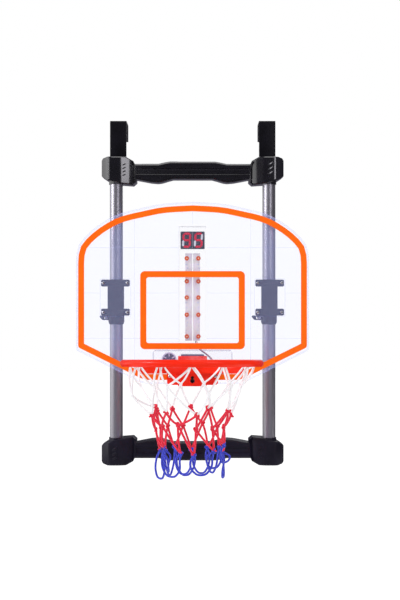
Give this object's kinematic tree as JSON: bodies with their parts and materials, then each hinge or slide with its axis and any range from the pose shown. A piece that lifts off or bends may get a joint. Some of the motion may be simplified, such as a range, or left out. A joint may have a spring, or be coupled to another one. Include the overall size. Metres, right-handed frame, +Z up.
{
  "type": "over-the-door basketball hoop",
  "caption": "Over-the-door basketball hoop with a clear backboard, a moulded rim, a three-colour net and an electronic scoreboard on a steel tube frame.",
  "frame": {"origin": "centre of the foam pad behind the top bar, on the face of the door", "axes": "+X to the viewer's right, +Y into the door, +Z up along the poles"},
  "size_m": [0.5, 0.409, 0.7525],
  "materials": {
    "moulded_black": "satin moulded, soft highlights",
    "cover_black": "fine grained",
    "foam": "closed-cell foam, matt",
    "strap_black": "powder coated",
    "pole_steel": "plated, smooth, faintly lilac",
    "clear_plastic": "clear, polished",
    "orange_print": "flat orange print",
    "bracket_black": "satin moulded",
    "zinc_steel": "zinc plated",
    "display_window": "dark smoked, faintly glossy",
    "lamp_board": "grey laminate with orange lamp rings",
    "circuit_board": "green laminate",
    "battery": "plain wrapped can",
    "speaker_frame": "satin moulded",
    "magnet": "dull sintered",
    "wire_red": "smooth sleeve",
    "wire_black": "smooth sleeve",
    "rim_orange": "moulded, soft gloss",
    "sensor_window": "dark, polished",
    "net_white": "braided cord",
    "net_red": "braided cord",
    "net_blue": "braided cord"
  },
  "bodies": {
    "door_frame": {"top_bar": "moulded_black", "top_bar_cover": "cover_black", "top_bar_pad": "foam", "bottom_bar": "moulded_black", "bottom_bar_cover": "cover_black", "bottom_bar_pad": "foam", "hook_left": "strap_black", "hook_right": "strap_black", "hook_liner_left": "foam", "hook_liner_right": "foam", "pole_left": "pole_steel", "pole_right": "pole_steel"},
    "board_carriage": {"backboard": "clear_plastic", "border_stripe": "orange_print", "target_square": "orange_print", "board_bracket_left": "bracket_black", "board_bracket_right": "bracket_black", "bracket_screw_1": "zinc_steel", "bracket_screw_2": "zinc_steel", "bracket_screw_3": "zinc_steel", "bracket_screw_4": "zinc_steel", "bracket_screw_5": "zinc_steel", "bracket_screw_6": "zinc_steel", "bracket_screw_7": "zinc_steel", "bracket_screw_8": "zinc_steel", "score_housing": "clear_plastic", "score_display": "display_window", "lamp_board_left": "lamp_board", "lamp_board_right": "lamp_board", "electronics_case": "clear_plastic", "battery_1": "battery", "battery_2": "battery", "battery_3": "battery", "speaker_frame": "speaker_frame", "speaker_magnet": "magnet", "main_circuit_board": "circuit_board", "signal_wire_red": "wire_red", "signal_wire_black": "wire_black", "rim": "rim_orange", "sensor_window": "sensor_window", "sensor_board": "circuit_board", "rim_bolt_left": "zinc_steel", "rim_bolt_right": "zinc_steel", "rim_nut_left": "zinc_steel", "rim_nut_right": "zinc_steel", "net_white": "net_white", "net_red": "net_red", "net_blue": "net_blue"},
    "collar_left": {"clamp_collar_left": "bracket_black", "clamp_bolt_left": "zinc_steel"},
    "lever_left": {"clamp_lever_left": "bracket_black"},
    "collar_right": {"clamp_collar_right": "bracket_black", "clamp_bolt_right": "zinc_steel"},
    "lever_right": {"clamp_lever_right": "bracket_black"},
    "switch": {"power_switch": "moulded_black"},
    "battery_lid": {"battery_door": "clear_plastic"}
  },
  "joints": [
    {"name": "board_slide", "type": "slide", "parent": "door_frame", "child": "board_carriage", "axis": [0, 0, 1], "range_m": [-0.1, 0.03]},
    {"name": "collar_slide_left", "type": "slide", "parent": "door_frame", "child": "collar_left", "axis": [0, 0, 1], "range_m": [-0.1, 0.03]},
    {"name": "collar_slide_right", "type": "slide", "parent": "door_frame", "child": "collar_right", "axis": [0, 0, 1], "range_m": [-0.1, 0.03]},
    {"name": "lever_hinge_left", "type": "hinge", "parent": "collar_left", "child": "lever_left", "pos_m": [-0.1873, -0.0207, -0.31685], "axis": [0, 0, -1], "range_deg": [0, 100]},
    {"name": "lever_hinge_right", "type": "hinge", "parent": "collar_right", "child": "lever_right", "pos_m": [0.1447, -0.0207, -0.31685], "axis": [0, 0, -1], "range_deg": [0, 100]},
    {"name": "switch_slide", "type": "slide", "parent": "board_carriage", "child": "switch", "axis": [1, 0, 0], "range_m": [0, 0.003]},
    {"name": "battery_lid_slide", "type": "slide", "parent": "board_carriage", "child": "battery_lid", "axis": [0, 1, 0], "range_m": [0, 0.012]}
  ],
  "couplings": [
    {"joint": "collar_slide_left", "follows": "board_slide", "ratio": 1},
    {"joint": "collar_slide_right", "follows": "board_slide", "ratio": 1}
  ]
}
